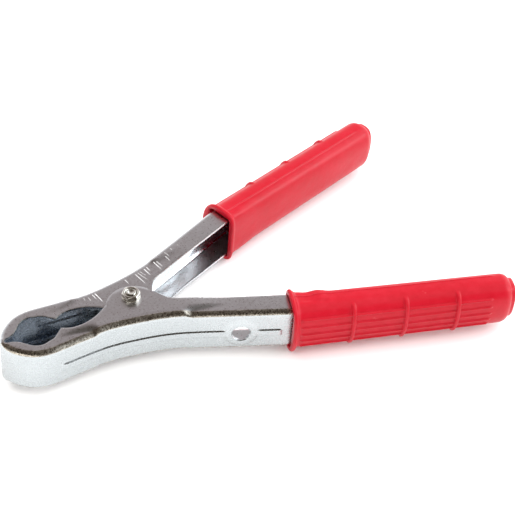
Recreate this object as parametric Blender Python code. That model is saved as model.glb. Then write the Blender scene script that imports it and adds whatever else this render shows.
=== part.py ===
"""Sprung pliers-type earth clamp (work-order name: electrode holder).

Units are metres in the scene; every dimension below is written in millimetres
and scaled once.  The clamp lies on its side.  The pivot axis is parallel to Z,
the bisector of the two handles is +X, the jaws point to -X.
"u" is the distance from the bisector towards an arm's own outside.
"""
import bpy
import bmesh
import math
from mathutils import Vector, Matrix

for ob in list(bpy.data.objects):
    bpy.data.objects.remove(ob, do_unlink=True)

MM = 0.001

# ---------------------------------------------------------------- dimensions
# where the pivot sits in the part frame (bottom centre of the box is 0,0,0)
PIVOT_X, PIVOT_Y, PIVOT_Z = -56.82, 0.06, 16.15

H = 24.7            # height of the pressed channel
T = 1.5             # sheet thickness
R_BEND = 3.0        # outside bend radius of the channel
R_EAR_HOLE = 2.75   # clearance hole for the M5 bolt
# joggle at the pivot, so that one arm's ear passes over the other's:
# the overlapping ear is set out, the other ear of the same arm is set in
JOG_OUT, JOG_IN = 1.3, 0.5  # together the sheet and 0.3 of clearance
JOG_X = (-29.0, 25.0)       # where the joggle begins and ends
JOG_RAMP = 8.0

# bead raised outwards along the web
BEAD_TOP, BEAD_BOTTOM, BEAD_FLANK, BEAD_DEPTH = 1.3, -3.5, 0.9, 0.8
BEAD_1 = (-43.0, 37.5)      # x range of the long bead
BEAD_2 = (51.5, 62.0)       # x range of the short bead
LUG_HOLE_X, LUG_HOLE_Z, LUG_HOLE_R = 43.9, -0.9, 4.5

# ear: arc around a point close to the pivot
EAR_C = (-1.2, 5.9)
EAR_R = 13.5

# handles and sleeves
A_SLEEVE = math.radians(16.7)   # sleeve axis against the bisector
U_SLEEVE = 16.0                 # where the sleeve axis crosses x = 0
S_NEAR, S_FAR = 71.0, 70.6      # flange face of each sleeve, measured along its axis
S_TANG_END = 170.0              # end of the steel inside the sleeve
SLEEVE_L = 113.5                # flange face to end of body
BOSS_L = 2.6                    # end boss
FLANGE_T = 3.0
FLANGE_OUT = 1.8
SLEEVE_FRONT = (8.5, 14.3)      # half width, half height behind the flange
SLEEVE_REAR = (8.95, 13.6)
SLEEVE_BELLY = 10.0              # half width on the rounder, ribbed outer side
CROSS_RIBS = (30.5, 57.5, 84.5) # from the flange face
CROSS_RIB_W, CROSS_RIB_H = 2.2, 1.3
LONG_RIBS_Z = (-8.6, -4.3, 0.0, 4.3, 8.6)
LONG_RIB_W, LONG_RIB_H = 1.0, 0.6
CABLE_R = 5.0

# pivot hardware, M5
BOLT_R = 2.5
NUT_AF, NUT_H = 8.0, 2.4     # thin nut
WASHER_R, WASHER_T = 4.55, 0.5
SEAT_GAP = 0.3      # between the stacked pieces on the bolt
HEAD_AF, HEAD_H = 8.0, 2.2
BUSH_RO, BUSH_RI = 4.2, 2.8
WIRE_R = 1.2
COIL_R = 6.1
COIL_TURNS = 4
COIL_PITCH = 3.0


# ---------------------------------------------------------------- helpers
def material(name, rgb, metallic, rough):
    m = bpy.data.materials.new(name)
    m.use_nodes = True
    b = m.node_tree.nodes["Principled BSDF"]
    b.inputs["Base Color"].default_value = (rgb[0], rgb[1], rgb[2], 1.0)
    b.inputs["Metallic"].default_value = metallic
    b.inputs["Roughness"].default_value = rough
    return m


def finish_bm(bm, name):
    bmesh.ops.recalc_face_normals(bm, faces=bm.faces)
    me = bpy.data.meshes.new(name)
    bm.to_mesh(me)
    bm.free()
    ob = bpy.data.objects.new(name, me)
    bpy.context.scene.collection.objects.link(ob)
    return ob


def tube_from_rings(name, rings):
    """closed body from a list of equal-length rings, capped at both ends"""
    bm = bmesh.new()
    vs = [[bm.verts.new(Vector(p) * MM) for p in r] for r in rings]
    n = len(rings[0])
    for a, b in zip(vs[:-1], vs[1:]):
        for i in range(n):
            j = (i + 1) % n
            bm.faces.new((a[i], a[j], b[j], b[i]))
    bm.faces.new(vs[0])
    bm.faces.new(list(reversed(vs[-1])))
    return finish_bm(bm, name)


def revolve(name, profile, seg, hex_rows=()):
    """profile: list of (r, z) going up, r > 0; ring rows in hex_rows are hexagons"""
    rings = []
    for k, (r, z) in enumerate(profile):
        ring = []
        for i in range(seg):
            a = 2 * math.pi * i / seg
            rr = r
            if k in hex_rows:
                d = (a + math.pi / 6) % (math.pi / 3) - math.pi / 6
                rr = min(r, (hex_rows[k]) / math.cos(d))
            ring.append((rr * math.cos(a), rr * math.sin(a), z))
        rings.append(ring)
    return tube_from_rings(name, rings)


def cylinder(name, r, z0, z1, seg=48):
    bm = bmesh.new()
    bmesh.ops.create_cone(bm, cap_ends=True, segments=seg, radius1=r * MM, radius2=r * MM,
                          depth=(z1 - z0) * MM,
                          matrix=Matrix.Translation((0, 0, (z0 + z1) / 2 * MM)))
    return finish_bm(bm, name)


def boolean(ob, cutter, op):
    m = ob.modifiers.new(op.title(), 'BOOLEAN')
    m.operation = op
    m.solver = 'EXACT'
    m.object = cutter
    dg = bpy.context.evaluated_depsgraph_get()
    me = bpy.data.meshes.new_from_object(ob.evaluated_get(dg))
    ob.modifiers.clear()
    old = ob.data
    ob.data = me
    bpy.data.meshes.remove(old)
    bpy.data.objects.remove(cutter, do_unlink=True)


def catmull(points, per):
    """smooth open curve through control points, per sub-steps a span"""
    out = []
    n = len(points)
    for i in range(n - 1):
        p0 = points[max(i - 1, 0)]
        p1, p2 = points[i], points[i + 1]
        p3 = points[min(i + 2, n - 1)]
        for k in range(per):
            t = k / per
            out.append(tuple(0.5 * ((2 * b) + (-a + c) * t + (2 * a - 5 * b + 4 * c - d) * t * t
                                    + (-a + 3 * b - 3 * c + d) * t ** 3)
                             for a, b, c, d in zip(p0, p1, p2, p3)))
    out.append(tuple(points[-1]))
    return out


# ---------------------------------------------------------------- arm profile
# every entry pairs a point of the cheek's inner edge with the web point opposite:
# (x edge, u edge, x web, u web)
NOSE = [(-65.2, 0.15, -67.1, 0.15), (-64.4, 1.2, -66.5, 3.0), (-61.6, 1.9, -65.0, 6.1),
        (-59.0, 3.3, -62.8, 8.9), (-56.8, 5.5, -60.0, 11.4), (-54.5, 7.8, -56.8, 13.5),
        (-51.8, 9.2, -53.4, 14.8), (-49.3, 9.5, -50.0, 15.4), (-46.6, 8.8, -46.8, 15.6),
        (-43.4, 7.8, -43.4, 15.4), (-40.6, 5.5, -40.6, 15.2), (-38.0, 3.3, -38.0, 15.0)]
REAR_JAW = [(-38.0, 3.3, -38.0, 15.0), (-35.6, 4.7, -35.6, 14.8), (-32.6, 5.8, -32.6, 14.6),
            (-29.0, 6.1, -29.0, 14.4), (-25.4, 5.8, -25.4, 14.2), (-22.0, 4.8, -22.0, 14.1),
            (-18.8, 3.3, -18.8, 14.1), (-15.8, 1.5, -15.8, 14.3)]


def ear_points(count):
    """arc of the ear with the web points opposite"""
    out = []
    a0 = math.atan2(-0.35 - EAR_C[1], -13.0 - EAR_C[0])
    a1 = math.atan2(-0.35 - EAR_C[1], 11.8 - EAR_C[0])
    a0 += 2 * math.pi if a0 < 0 else 0.0
    a1 += 2 * math.pi if a1 < 0 else 0.0
    for k in range(count + 1):
        f = k / count
        a = a0 + (a1 - a0) * f
        xw = -13.0 + 24.5 * f
        out.append((EAR_C[0] + EAR_R * math.cos(a), EAR_C[1] + EAR_R * math.sin(a),
                    xw, web_u(xw)))
    return out


def web_u(x):
    """outside of the web between the rear jaw and the straight handle"""
    pts = [(-22.0, 14.1), (-13.0, 14.55), (-6.0, 15.55), (2.0, 16.95), (10.0, 18.85),
           (18.0, 21.4), (27.0, 25.0), (36.0, 28.85)]
    for (xa, ua), (xb, ub) in zip(pts[:-1], pts[1:]):
        if xa <= x <= xb:
            i = pts.index((xa, ua))
            def slope(j):
                j0, j1 = max(j - 1, 0), min(j + 1, len(pts) - 1)
                return (pts[j1][1] - pts[j0][1]) / (pts[j1][0] - pts[j0][0])
            h = xb - xa
            t = (x - xa) / h
            return ((2 * t ** 3 - 3 * t * t + 1) * ua + (t ** 3 - 2 * t * t + t) * h * slope(i)
                    + (-2 * t ** 3 + 3 * t * t) * ub + (t ** 3 - t * t) * h * slope(i + 1))
    raise ValueError(x)


def sleeve_axis(s, off=0.0):
    """plan point on the sleeve axis at s, moved outwards by off"""
    c, q = math.cos(A_SLEEVE), math.sin(A_SLEEVE)
    return (s * c - off * q, U_SLEEVE + s * q + off * c)


def handle_points():
    fillet = [(12.7, 2.6), (14.2, 5.3), (16.3, 7.6), (19.6, 9.7)]
    web = [13.2, 15.0, 17.0, 19.0]
    out = [(a, b, w, web_u(w)) for (a, b), w in zip(fillet, web)]
    for xe, xw in ((24.0, 22.0), (30.0, 26.6), (36.0, 31.8)):
        out.append((xe, 11.5 + 0.402 * (xe - 24.0), xw, web_u(xw)))
    for xe, xw in ((41.0, 36.6), (42.2, 37.8), (46.0, 41.4), (51.0, 46.2), (55.5, 50.6),
                   (56.6, 51.8), (61.5, 56.6), (66.6, 61.6), (67.8, 62.8)):
        out.append((xe, 11.5 + 0.402 * (xe - 24.0), xw, 28.85 + 0.4268 * (xw - 36.0)))
    for s, half, _ in TANG:
        q, p = sleeve_axis(s, -half), sleeve_axis(s, half)
        out.append((q[0], q[1], p[0], p[1]))
    return out


# steel under the sleeve: position, half width, height
TANG = [(78.0, 5.95, 23.6), (90.0, 5.8, 23.1), (S_TANG_END, 5.1, 20.6)]


def arm_stations():
    st = catmull(NOSE, 2)[:-1] + catmull(REAR_JAW, 2)
    st += ear_points(14) + handle_points()
    return st


def arm_height(index, total):
    n = len(TANG)
    if index >= total - n:
        return TANG[index - (total - n)][2]
    return H


def bead(x):
    d = 0.0
    for a, b in (BEAD_1, BEAD_2):
        d = max(d, BEAD_DEPTH * max(0.0, min(1.0, (x - a) / 1.4, (b - x) / 1.4)))
    return d


def joggle(x):
    """0 on the plain channel, 1 around the pivot"""
    out = 1.0
    for v in ((x - JOG_X[0]) / JOG_RAMP, (JOG_X[1] - x) / JOG_RAMP):
        v = max(0.0, min(1.0, v))
        out *= v * v * (3 - 2 * v)
    return out


def arm_mesh(name, flip):
    """flip = +1: arm on the -Y side, outer ear on top; -1: turned half a turn about X"""
    st = arm_stations()
    n = len(st)
    rings = []
    for k, (xq, uq, xp, up) in enumerate(st):
        a, b = st[max(k - 1, 0)], st[min(k + 1, n - 1)]
        tx, tu = b[2] - a[2], b[3] - a[3]
        l = math.hypot(tx, tu)
        nx, nu = tu / l, -tx / l               # towards the inside of the arm
        L = math.hypot(xq - xp, uq - up)
        qx, qu = (xq - xp) / L, (uq - up) / L
        c = max(0.55, nx * qx + nu * qu)
        ro = min(R_BEND, (L - 0.12) * c)
        ri = max(ro - T, 0.35)
        h = arm_height(k, n) / 2.0
        g = bead(xp)
        j = joggle(xp)
        rows = []

        def row(d, z, shift=0.0):
            rows.append((xp + qx * d, up + qu * d, z + shift))
        top_shift, low_shift = JOG_OUT * j, JOG_IN * j
        arcs = [math.radians(v) for v in (90, 60, 30, 0)]
        row(L, h, top_shift)
        for t in arcs:
            row((ro - ro * math.cos(t)) / c, h - ro + ro * math.sin(t), top_shift)
        row(0, BEAD_TOP)
        row(-g / c, BEAD_TOP - BEAD_FLANK)
        row(-g / c, BEAD_BOTTOM + BEAD_FLANK)
        row(0, BEAD_BOTTOM)
        for t in reversed(arcs):
            row((ro - ro * math.cos(t)) / c, -(h - ro + ro * math.sin(t)), low_shift)
        row(L, -h, low_shift)
        row(L, -h + T, low_shift)
        for t in arcs:
            row((ro - ri * math.cos(t)) / c, -(h - ro + ri * math.sin(t)), low_shift)
        row(T / c, BEAD_BOTTOM + 0.2)
        row((T - g) / c, BEAD_BOTTOM + BEAD_FLANK + 0.2)
        row((T - g) / c, BEAD_TOP - BEAD_FLANK - 0.2)
        row(T / c, BEAD_TOP - 0.2)
        for t in reversed(arcs):
            row((ro - ri * math.cos(t)) / c, h - ro + ri * math.sin(t), top_shift)
        row(L, h - T, top_shift)
        rings.append([(x, -u * flip, z * flip) for x, u, z in rows])
    ob = tube_from_rings(name, rings)

    boolean(ob, cylinder("hole", R_EAR_HOLE, -20, 20, seg=32), 'DIFFERENCE')

    # hole for the cable lug, square to the web
    hu = 28.85 + 0.4268 * (LUG_HOLE_X - 36.0)
    a = math.atan(0.4268)
    m = cylinder("lug", LUG_HOLE_R, -6, 6, seg=32)
    axis = Vector((math.sin(a), math.cos(a) * flip, 0.0))
    rot = Vector((0, 0, 1)).rotation_difference(axis).to_matrix().to_4x4()
    m.data.transform(Matrix.Translation(Vector((LUG_HOLE_X, -hu * flip, LUG_HOLE_Z * flip)) * MM) @ rot)
    boolean(ob, m, 'DIFFERENCE')
    return ob


# ---------------------------------------------------------------- sleeve
def sleeve_ring(a, b, n_out, n_in, grow=0.0, long_h=0.0, cross_h=0.0):
    """ring of (w, z) points; outer side carries the ribs"""
    c_out = SLEEVE_BELLY
    zs = []
    for zc in LONG_RIBS_Z:
        zs += [zc - LONG_RIB_W * 0.55, zc - LONG_RIB_W * 0.3, zc + LONG_RIB_W * 0.3, zc + LONG_RIB_W * 0.55]
    inner = []
    for t in range(-84, 85, 12):
        s, c = math.sin(math.radians(t)), math.cos(math.radians(t))
        w = -a * c ** (2.0 / n_in)
        z = b * math.copysign(abs(s) ** (2.0 / n_in), s)
        inner.append((w - grow * c, z + grow * s))
    outer = [(0.0, b + grow)]
    corner = []
    for t in (82, 72, 62, 54):
        s, c = math.sin(math.radians(t)), math.cos(math.radians(t))
        corner.append((c_out * c ** (2.0 / n_out) + grow * c, b * s ** (2.0 / n_out) + grow * s))
    mid = []
    for zc in reversed(zs):
        zz = zc * b / SLEEVE_FRONT[1]
        k = zs.index(zc) % 4
        w = c_out * max(0.0, 1.0 - abs(zz / b) ** n_out) ** (1.0 / n_out)
        rib = long_h if k in (1, 2) else 0.0
        h = max(rib, cross_h * (1.0 if abs(zz) < 11.0 else 0.0))
        mid.append((w + grow + h, zz))
    bottom = [(p[0], -p[1]) for p in reversed(corner)]
    ring = outer + corner + mid + bottom + [(0.0, -b - grow)] + inner
    return ring


def sleeve_mesh(name, flip, s0):
    def place(ring, s):
        out = []
        for w, z in ring:
            x, u = sleeve_axis(s, w)
            out.append((x, -u * flip, z * flip))
        return out

    def dims(d):
        f = min(1.0, max(0.0, d / SLEEVE_L))
        a = SLEEVE_FRONT[0] + (SLEEVE_REAR[0] - SLEEVE_FRONT[0]) * f
        b = SLEEVE_FRONT[1] + (SLEEVE_REAR[1] - SLEEVE_FRONT[1]) * f
        return a, b, 2.35, 5.0 - 1.8 * min(1.0, d / 22.0) - 0.6 * f
    rows = []

    def add(d, grow=0.0, long_h=0.0, cross_h=0.0):
        rows.append(place(sleeve_ring(*dims(d), grow, long_h, cross_h), s0 + d))
    add(0.0, FLANGE_OUT - 0.7)
    add(0.7, FLANGE_OUT)
    add(FLANGE_T - 0.7, FLANGE_OUT)
    add(FLANGE_T, FLANGE_OUT - 0.7)
    add(FLANGE_T + 0.05, 0.0)
    add(FLANGE_T + 0.6, 0.0, LONG_RIB_H)
    for c in CROSS_RIBS:
        add(c - CROSS_RIB_W * 0.7, 0.0, LONG_RIB_H)
        add(c - CROSS_RIB_W * 0.3, 0.0, LONG_RIB_H, CROSS_RIB_H)
        add(c + CROSS_RIB_W * 0.3, 0.0, LONG_RIB_H, CROSS_RIB_H)
        add(c + CROSS_RIB_W * 0.7, 0.0, LONG_RIB_H)
    add(102.0, 0.0, LONG_RIB_H)
    add(102.6)
    add(SLEEVE_L - 3.4)
    add(SLEEVE_L - 1.2, -0.6)
    add(SLEEVE_L - 0.2, -1.7)
    add(SLEEVE_L, -2.2)
    add(SLEEVE_L + 0.2, -2.3)
    add(SLEEVE_L + BOSS_L - 1.0, -2.6)
    add(SLEEVE_L + BOSS_L, -3.6)
    ob = tube_from_rings(name, rows)

    # pocket for the steel, open at the flange
    def pocket(half, h, gap, r):
        pts = []
        a, b = half + gap, h / 2 + gap
        for sw, sz, rr in ((1, 1, r), (1, -1, r), (-1, -1, 0.5), (-1, 1, 0.5)):
            order = (90, 45, 0) if sw * sz > 0 else (0, 45, 90)
            for t in order:
                c, s = math.cos(math.radians(t)), math.sin(math.radians(t))
                pts.append((sw * (a - rr + rr * c), sz * (b - rr + rr * s)))
        return pts
    g = 0.35
    pk = [(-1.5, pocket(6.85, H, g + 0.1, 3.2)), (s_in(s0), pocket(6.7, H, g, 3.2)),
          (78.0 - s0, pocket(TANG[0][1] + 0.25, TANG[0][2] + 0.3, g, 3.2)),
          (90.0 - s0, pocket(TANG[1][1], TANG[1][2], g, 3.2)),
          (S_TANG_END - s0 + 0.6, pocket(TANG[2][1], TANG[2][2], g, 3.2))]
    boolean(ob, tube_from_rings("pocket", [place(r, s0 + d) for d, r in pk]), 'DIFFERENCE')
    # cable entry through the end
    seg = 32
    circ = [(CABLE_R * math.cos(2 * math.pi * i / seg), CABLE_R * math.sin(2 * math.pi * i / seg))
            for i in range(seg)]
    boolean(ob, tube_from_rings("cable", [place(circ, s) for s in (S_TANG_END - 4.0, s0 + SLEEVE_L + BOSS_L + 3.0)]),
            'DIFFERENCE')
    return ob


def s_in(s0):
    return 73.8 - s0


# ---------------------------------------------------------------- build
outer_arm = arm_mesh("outer_arm", 1)
inner_arm = arm_mesh("inner_arm", -1)
outer_sleeve = sleeve_mesh("outer_sleeve", 1, S_NEAR)
inner_sleeve = sleeve_mesh("inner_sleeve", -1, S_FAR)

HEX_R = NUT_AF / 2 / math.cos(math.pi / 6)
top = H / 2 + JOG_OUT
z_w = top + SEAT_GAP
lock_washer = revolve("lock_washer", [(WASHER_R, z_w), (WASHER_R, z_w + WASHER_T)], 48)
boolean(lock_washer, cylinder("c", 2.8, 0, 30, seg=48), 'DIFFERENCE')
z_n = z_w + WASHER_T + SEAT_GAP
apo = NUT_AF / 2
pivot_nut = revolve("pivot_nut",
                    [(apo, z_n), (HEX_R, z_n + 0.45), (HEX_R, z_n + NUT_H - 0.6), (3.4, z_n + NUT_H)],
                    48, {1: apo, 2: apo})
boolean(pivot_nut, cylinder("c", 2.8, 0, 30, seg=48), 'DIFFERENCE')

zh = -top - 0.3
pivot_bolt = revolve("pivot_bolt",
                     [(3.4, zh - HEAD_H), (HEX_R, zh - HEAD_H + 0.6), (HEX_R, zh), (BOLT_R, zh),
                      (BOLT_R, z_n + NUT_H - 0.4), (BOLT_R - 0.5, z_n + NUT_H + 0.1)],
                     48, {1: apo, 2: apo})

zb = H / 2 - JOG_IN - T - 0.3
spring_bush = revolve("spring_bush", [(BUSH_RO, -zb), (BUSH_RO, zb)], 40)
boolean(spring_bush, cylinder("c", BUSH_RI, -20, 20, seg=40), 'DIFFERENCE')


def spring_mesh(name):
    h = COIL_TURNS * COIL_PITCH
    leg_u, leg_x = 18.2, 22.0
    foot = Vector((leg_x, leg_u, 0.0))
    # tangent point of a line from the foot to the coil circle
    d = math.hypot(foot.x, foot.y)
    base = math.atan2(foot.y, foot.x)
    al = math.acos(COIL_R / d)
    a_t = base + al                       # tangent point angle on the +Y side
    # +Y leg leaves at the top, -Y leg at the bottom; the coil turns the long way round
    sweep = COIL_TURNS * 2 * math.pi - 2 * a_t
    steps = 13 * COIL_TURNS
    path = []
    lean = 0.0
    tp = Vector((COIL_R * math.cos(a_t), -COIL_R * math.sin(a_t), -h / 2))
    end = Vector((foot.x, -foot.y, -h / 2))
    path.append(end)
    path.append(end.lerp(tp, 0.5))
    for k in range(steps + 1):
        f = k / steps
        a = -a_t - sweep * f
        path.append(Vector((COIL_R * math.cos(a), COIL_R * math.sin(a), -h / 2 + h * f)))
    tp2 = path[-1]
    end2 = Vector((foot.x, foot.y, h / 2))
    path.append(tp2.lerp(end2, 0.5))
    path.append(end2)
    cu = bpy.data.curves.new(name, 'CURVE')
    cu.dimensions = '3D'
    cu.bevel_depth = WIRE_R * MM
    cu.bevel_resolution = 2
    cu.use_fill_caps = True
    sp = cu.splines.new('POLY')
    sp.points.add(len(path) - 1)
    for p, q in zip(sp.points, path):
        p.co = (q.x * MM, q.y * MM, q.z * MM, 1.0)
    ob = bpy.data.objects.new(name, cu)
    bpy.context.scene.collection.objects.link(ob)
    return ob


torsion_spring = spring_mesh("torsion_spring")

# ---------------------------------------------------------------- looks, placing
zinc = (0.62, 0.62, 0.63)
LOOKS = {
    "outer_arm": (zinc, 1.0, 0.32), "inner_arm": (zinc, 1.0, 0.32),
    "outer_sleeve": ((0.74, 0.02, 0.035), 0.0, 0.45), "inner_sleeve": ((0.74, 0.02, 0.035), 0.0, 0.45),
    "lock_washer": (zinc, 1.0, 0.3), "pivot_nut": (zinc, 1.0, 0.25), "pivot_bolt": (zinc, 1.0, 0.25),
    "spring_bush": (zinc, 1.0, 0.35), "torsion_spring": ((0.35, 0.35, 0.36), 1.0, 0.3),
}
OFFSET = Vector((PIVOT_X, PIVOT_Y, PIVOT_Z)) * MM
for ob in list(bpy.context.scene.objects):
    rgb, met, rough = LOOKS[ob.name]
    ob.data.materials.clear()
    ob.data.materials.append(material(ob.name + "_finish", rgb, met, rough))
    ob.location = OFFSET
    if ob.type != 'MESH':
        continue
    bm = bmesh.new()
    bm.from_mesh(ob.data)
    bmesh.ops.remove_doubles(bm, verts=bm.verts, dist=2e-6)
    bmesh.ops.recalc_face_normals(bm, faces=bm.faces)
    for f in bm.faces:
        f.smooth = True
    for e in bm.edges:
        e.smooth = len(e.link_faces) == 2 and e.calc_face_angle(0.0) < math.radians(32.0)
    bm.to_mesh(ob.data)
    bm.free()
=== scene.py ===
import bpy
import bmesh
import math
from mathutils import Vector, Matrix, noise


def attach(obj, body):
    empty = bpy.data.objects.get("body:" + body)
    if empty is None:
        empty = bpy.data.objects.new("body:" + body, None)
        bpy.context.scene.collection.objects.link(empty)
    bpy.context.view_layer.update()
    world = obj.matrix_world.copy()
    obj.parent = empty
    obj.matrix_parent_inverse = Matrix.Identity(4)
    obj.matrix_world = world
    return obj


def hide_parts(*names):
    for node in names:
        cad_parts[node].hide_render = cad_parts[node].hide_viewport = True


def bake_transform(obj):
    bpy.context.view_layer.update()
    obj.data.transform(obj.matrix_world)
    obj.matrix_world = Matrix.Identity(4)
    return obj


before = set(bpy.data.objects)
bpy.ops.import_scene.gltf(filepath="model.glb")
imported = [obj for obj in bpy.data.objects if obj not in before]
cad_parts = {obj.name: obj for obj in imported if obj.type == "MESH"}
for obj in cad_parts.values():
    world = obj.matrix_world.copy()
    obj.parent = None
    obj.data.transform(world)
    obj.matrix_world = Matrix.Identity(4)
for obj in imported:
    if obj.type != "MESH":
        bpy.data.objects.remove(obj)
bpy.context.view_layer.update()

MM = 0.001
PIVOT = Vector((-56.82, 0.06, 16.15))     # mm, where the hinge axis crosses mid-height

# ------------------------------------------------------------------ dimensions (mm, pivot at 0)
H, T, R_BEND = 24.7, 1.5, 3.0
EDGE_R = 0.28
JOG_OUT, JOG_IN, JOG_X, JOG_RAMP = 1.3, 0.5, (-26.0, 22.0), 4.2
BEAD_TOP, BEAD_BOTTOM, BEAD_DEPTH = 1.3, -3.5, 0.75
BEAD_1, BEAD_2 = (-45.0, 38.5), (50.5, 62.6)
LUG_HOLE_X, LUG_HOLE_Z, LUG_HOLE_R = 43.9, -0.9, 4.5
EAR_C, EAR_R = (-1.2, 5.9), 13.5
A_SLEEVE, U_SLEEVE = math.radians(16.7), 16.0
S_NEAR, S_FAR, S_TANG_END = 71.0, 70.6, 170.0
SLEEVE_L, BOSS_L, FLANGE_T, FLANGE_OUT, BELLY = 113.5, 2.55, 3.0, 1.78, 9.97
SLEEVE_FRONT, SLEEVE_REAR = (8.5, 14.27), (8.95, 13.55)
CROSS_RIBS, CROSS_RIB_W, CROSS_RIB_H = (30.5, 57.5, 84.5), 2.2, 1.35
LONG_RIBS_Z, LONG_RIB_W, LONG_RIB_H = (-8.6, -4.3, 0.0, 4.3, 8.6), 1.0, 0.8
CABLE_R = 5.0


def smooth(t):
    t = max(0.0, min(1.0, t))
    return t * t * (3.0 - 2.0 * t)


def lerp(a, b, t):
    return a + (b - a) * t


# ------------------------------------------------------------------ mesh helpers
def new_object(name, verts, faces, sharp=34.0, attrs=None, recalc=True):
    """verts in mm around the pivot; returns an object whose vertices are in metres in the row frame"""
    me = bpy.data.meshes.new(name)
    me.from_pydata([((v[0] + PIVOT.x) * MM, (v[1] + PIVOT.y) * MM, (v[2] + PIVOT.z) * MM) for v in verts],
                   [], faces)
    for key, values in (attrs or {}).items():
        at = me.attributes.new(key, 'FLOAT', 'POINT')
        at.data.foreach_set("value", values)
    me.update()
    ob = bpy.data.objects.new(name, me)
    bpy.context.scene.collection.objects.link(ob)
    if recalc:
        finish_normals(ob, sharp)
    return ob


def finish_normals(ob, sharp=34.0):
    bm = bmesh.new()
    bm.from_mesh(ob.data)
    bmesh.ops.recalc_face_normals(bm, faces=bm.faces)
    for f in bm.faces:
        f.smooth = True
    lim = math.radians(sharp)
    for e in bm.edges:
        e.smooth = len(e.link_faces) == 2 and e.calc_face_angle(0.0) < lim
    bm.to_mesh(ob.data)
    bm.free()


def bridge(rings, close=True):
    """faces between equal rings; close joins the last ring back to the first"""
    n = len(rings[0])
    verts = [p for r in rings for p in r]
    faces = []
    m = len(rings)
    for k in range(m if close else m - 1):
        a, b = k * n, ((k + 1) % m) * n
        for i in range(n):
            j = (i + 1) % n
            faces.append((a + i, a + j, b + j, b + i))
    return verts, faces


def boolean(ob, cutter, op='DIFFERENCE'):
    m = ob.modifiers.new("cut", 'BOOLEAN')
    m.operation = op
    m.solver = 'EXACT'
    m.object = cutter
    dg = bpy.context.evaluated_depsgraph_get()
    me = bpy.data.meshes.new_from_object(ob.evaluated_get(dg))
    ob.modifiers.clear()
    old = ob.data
    ob.data = me
    bpy.data.meshes.remove(old)
    bpy.data.objects.remove(cutter, do_unlink=True)


def turned(name, profile, seg, keep=None):
    """closed ring-shaped body turned about the hinge axis; profile is a closed loop of (r, z).
    keep(r, z, angle) may give another (r, z)"""
    rings = []
    for i in range(seg):
        a = 2.0 * math.pi * i / seg
        ring = []
        for k, (r, z) in enumerate(profile):
            if keep:
                r, z = keep(k, r, z, a)
            ring.append((r * math.cos(a), r * math.sin(a), z))
        rings.append(ring)
    return bridge(rings, True)


def catmull(points, per):
    out = []
    n = len(points)
    for i in range(n - 1):
        p0, p1, p2, p3 = points[max(i - 1, 0)], points[i], points[i + 1], points[min(i + 2, n - 1)]
        for k in range(per):
            t = k / per
            out.append(tuple(0.5 * ((2 * b) + (-a + c) * t + (2 * a - 5 * b + 4 * c - d) * t * t
                                    + (-a + 3 * b - 3 * c + d) * t ** 3)
                             for a, b, c, d in zip(p0, p1, p2, p3)))
    out.append(tuple(points[-1]))
    return out


# ------------------------------------------------------------------ pressed arms
NOSE = [(-65.2, 0.06, -67.1, 0.06), (-64.4, 1.2, -66.5, 3.0), (-61.6, 1.9, -65.0, 6.1),
        (-59.0, 3.3, -62.8, 8.9), (-56.8, 5.5, -60.0, 11.4), (-54.5, 7.8, -56.8, 13.5),
        (-51.8, 9.2, -53.4, 14.8), (-49.3, 9.5, -50.0, 15.4), (-46.6, 8.8, -46.8, 15.6),
        (-43.4, 7.8, -43.4, 15.4), (-40.6, 5.5, -40.6, 15.2), (-38.0, 3.3, -38.0, 15.0)]
REAR_JAW = [(-38.0, 3.3, -38.0, 15.0), (-35.6, 4.7, -35.6, 14.8), (-32.6, 5.8, -32.6, 14.6),
            (-29.0, 6.1, -29.0, 14.4), (-25.4, 5.8, -25.4, 14.2), (-22.0, 4.8, -22.0, 14.1),
            (-18.8, 3.3, -18.8, 14.1), (-15.8, 1.5, -15.8, 14.3)]
WEB = [(-22.0, 14.1), (-13.0, 14.55), (-6.0, 15.55), (2.0, 16.95), (10.0, 18.85),
       (18.0, 21.4), (27.0, 25.0), (36.0, 28.85)]
TANG = [(78.0, 5.95, 23.6), (90.0, 5.8, 23.1), (S_TANG_END, 5.1, 20.6)]


def web_u(x):
    def slope(j):
        j0, j1 = max(j - 1, 0), min(j + 1, len(WEB) - 1)
        return (WEB[j1][1] - WEB[j0][1]) / (WEB[j1][0] - WEB[j0][0])
    for i in range(len(WEB) - 1):
        (xa, ua), (xb, ub) = WEB[i], WEB[i + 1]
        if xa <= x <= xb:
            h = xb - xa
            t = (x - xa) / h
            return ((2 * t ** 3 - 3 * t * t + 1) * ua + (t ** 3 - 2 * t * t + t) * h * slope(i)
                    + (-2 * t ** 3 + 3 * t * t) * ub + (t ** 3 - t * t) * h * slope(i + 1))
    return 28.85 + 0.4268 * (x - 36.0)


def sleeve_axis(s, off=0.0):
    c, q = math.cos(A_SLEEVE), math.sin(A_SLEEVE)
    return (s * c - off * q, U_SLEEVE + s * q + off * c)


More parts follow.
